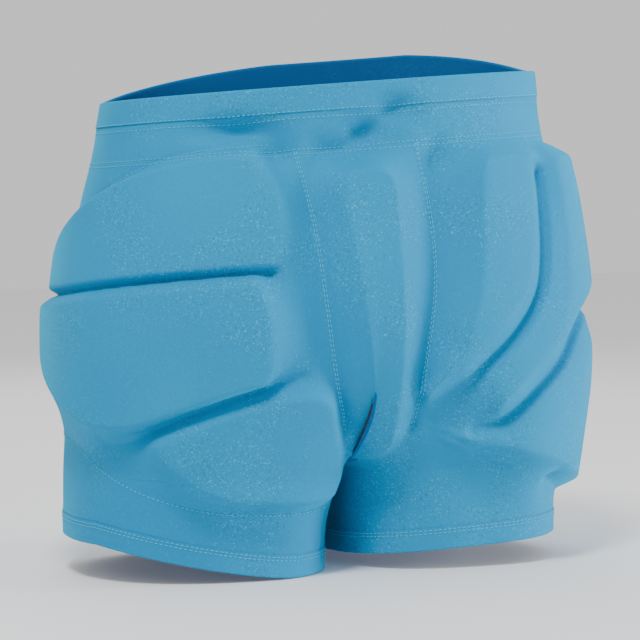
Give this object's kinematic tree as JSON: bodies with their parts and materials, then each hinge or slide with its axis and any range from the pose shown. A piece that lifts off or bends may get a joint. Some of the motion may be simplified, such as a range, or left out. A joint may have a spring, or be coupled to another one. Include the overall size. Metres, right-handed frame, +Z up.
{
  "type": "padded impact shorts",
  "caption": "Blue stretch-knit impact shorts with foam pads under cloth on the hips, centre front, tailbone and seat, split by flex cuts.",
  "frame": {"origin": "the middle of the floor that the leg hems stand on", "axes": "+Z up, front of the garment towards -Y, wearer's left towards +X"},
  "size_m": [0.406, 0.285, 0.3654],
  "materials": {
    "knit": "cyan-blue stretch knit, soft sheen",
    "foam": "closed-cell foam, matt",
    "elastic": "woven elastic, matt"
  },
  "bodies": {
    "root": {"waistband_casing": "knit", "waist_elastic": "elastic", "front_yoke": "knit", "back_yoke": "knit", "centre_front_panel": "knit", "crotch_gusset": "knit", "right_side_panel": "knit", "right_back_panel": "knit", "left_side_panel": "knit", "left_back_panel": "knit", "right_hip_pad_upper_foam": "foam", "right_hip_pad_upper_cover": "knit", "right_hip_pad_middle_foam": "foam", "right_hip_pad_middle_cover": "knit", "right_hip_pad_lower_foam": "foam", "right_hip_pad_lower_cover": "knit", "left_hip_pad_front_foam": "foam", "left_hip_pad_front_cover": "knit", "left_hip_pad_side_foam": "foam", "left_hip_pad_side_cover": "knit", "left_hip_pad_lower_foam": "foam", "left_hip_pad_lower_cover": "knit", "centre_front_pad_foam": "foam", "centre_front_pad_cover": "knit", "tailbone_pad_foam": "foam", "tailbone_pad_cover": "knit", "right_seat_pad_foam": "foam", "right_seat_pad_cover": "knit", "left_seat_pad_foam": "foam", "left_seat_pad_cover": "knit"},
    "right_leg_opening": {"right_leg_cuff": "knit", "right_hem_band": "knit"},
    "left_leg_opening": {"left_leg_cuff": "knit", "left_hem_band": "knit"}
  },
  "joints": [
    {"name": "right_leg_flare", "type": "hinge", "parent": "root", "child": "right_leg_opening", "pos_m": [-0.1808, -0.0055, 0.055], "axis": [0, 1, 0], "range_deg": [0, 6], "stiffness_Nm_per_rad": 2},
    {"name": "left_leg_flare", "type": "hinge", "parent": "root", "child": "left_leg_opening", "pos_m": [0.1836, -0.0055, 0.039], "axis": [0, -1, 0], "range_deg": [0, 6], "stiffness_Nm_per_rad": 2}
  ]
}
